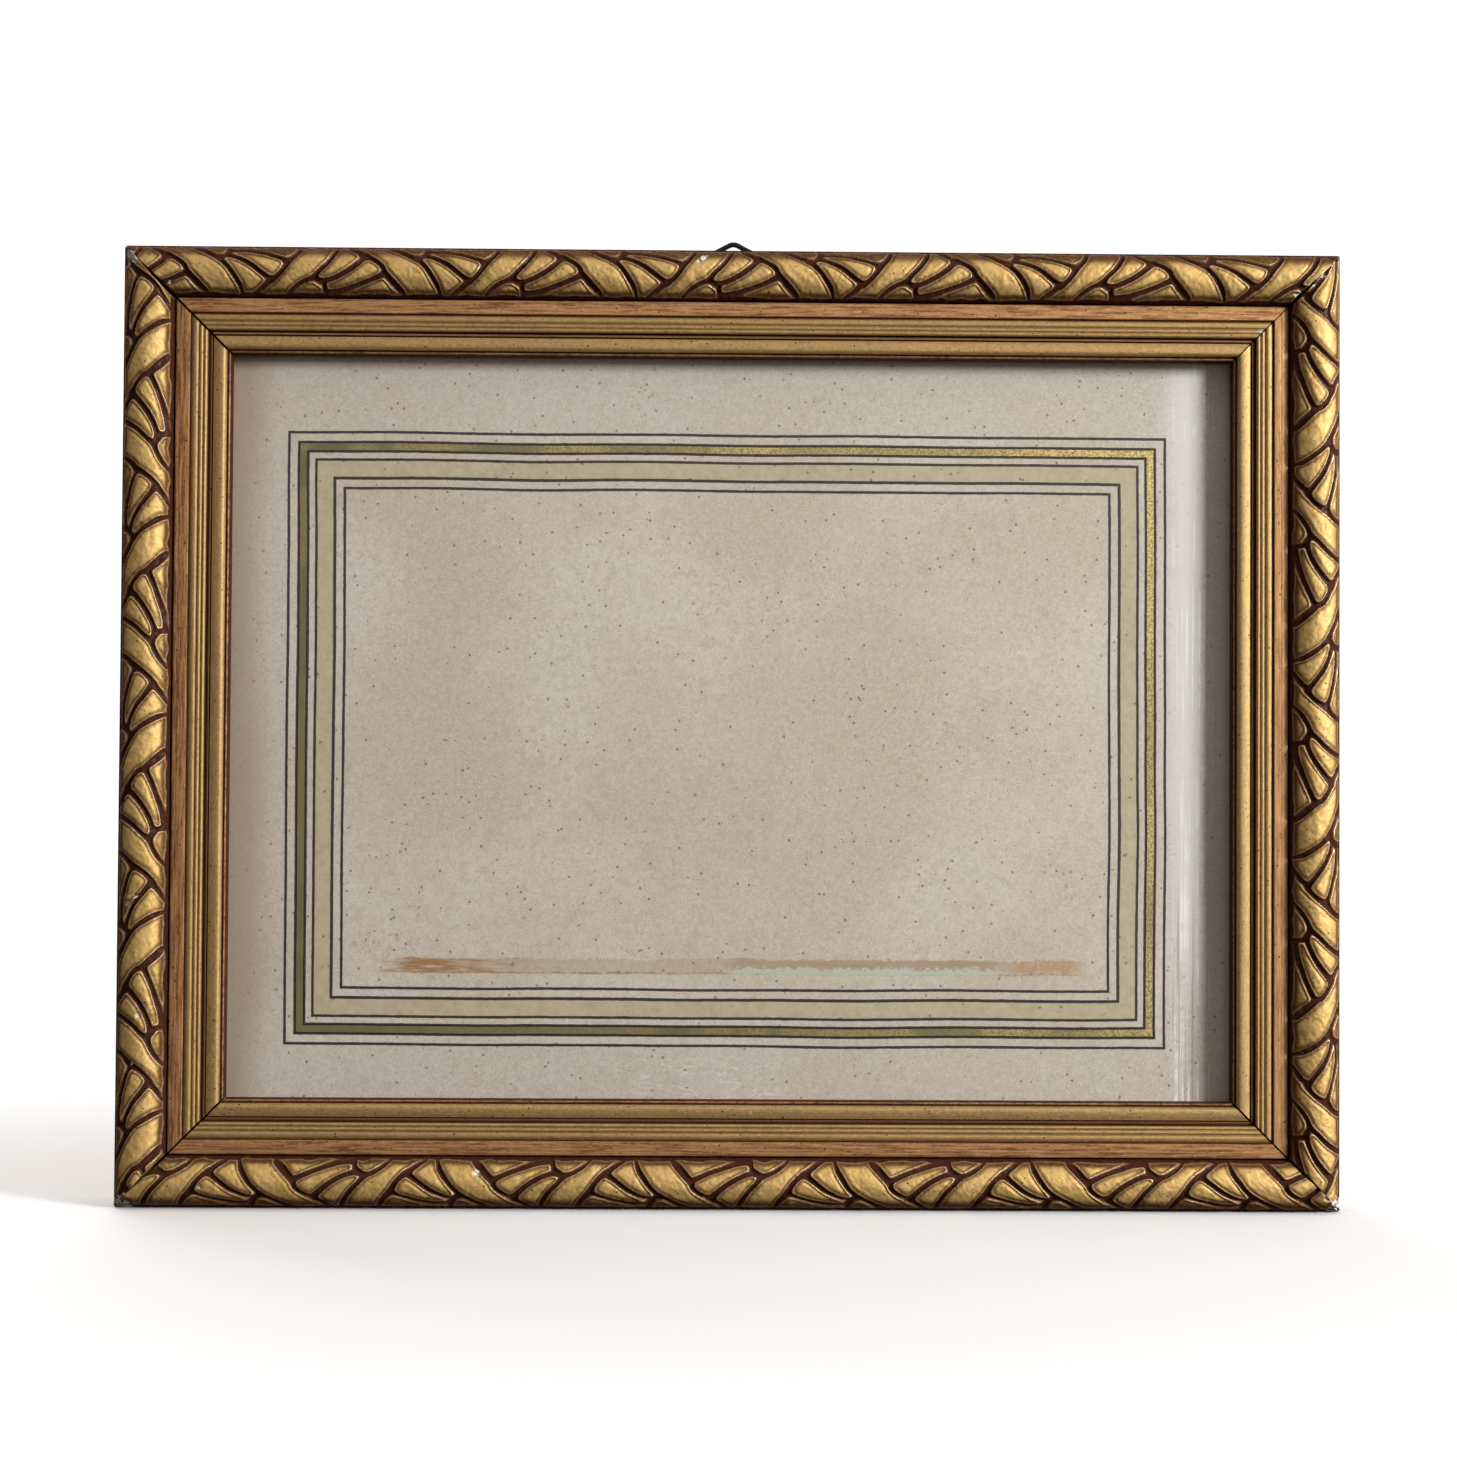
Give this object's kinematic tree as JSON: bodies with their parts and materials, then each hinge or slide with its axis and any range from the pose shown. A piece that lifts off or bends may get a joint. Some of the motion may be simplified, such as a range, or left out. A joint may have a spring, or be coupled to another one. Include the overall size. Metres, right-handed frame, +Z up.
{
  "type": "wall picture frame",
  "caption": "Landscape gilt wood display frame with a running leaf moulding, glass, ruled mount card, backing board and a hinged hanging ring at the top.",
  "frame": {"origin": "the nail seat: the underside of the hanging ring's top, in the ring's plane", "axes": "+X to the right along the frame's long side, +Y back to the wall, +Z up"},
  "size_m": [0.28, 0.0218, 0.225],
  "materials": {
    "gilt_moulding": "satin",
    "window_glass": "polished",
    "mount_card": "matte",
    "packing_card": "matte",
    "backing_wood": "matte",
    "steel_nails": "satin",
    "black_hanger": "gloss"
  },
  "bodies": {
    "frame": {"top_rail": "gilt_moulding", "bottom_rail": "gilt_moulding", "left_rail": "gilt_moulding", "right_rail": "gilt_moulding", "glass_pane": "window_glass", "mount_card": "mount_card", "packing_board": "packing_card", "backing_board": "backing_wood", "brads_top": "steel_nails", "brads_right": "steel_nails", "brads_bottom": "steel_nails", "brads_left": "steel_nails", "mitre_nails_tl": "steel_nails", "mitre_nails_tr": "steel_nails", "mitre_nails_br": "steel_nails", "mitre_nails_bl": "steel_nails", "hanger_plate": "black_hanger", "hanger_tack_left": "black_hanger", "hanger_tack_right": "black_hanger"},
    "ring": {"hanger_ring": "black_hanger"}
  },
  "joints": [
    {"name": "ring_hinge", "type": "hinge", "parent": "frame", "child": "ring", "pos_m": [0, 0, -0.00761], "axis": [-1, 0, 0], "range_deg": [-8, 175]}
  ]
}
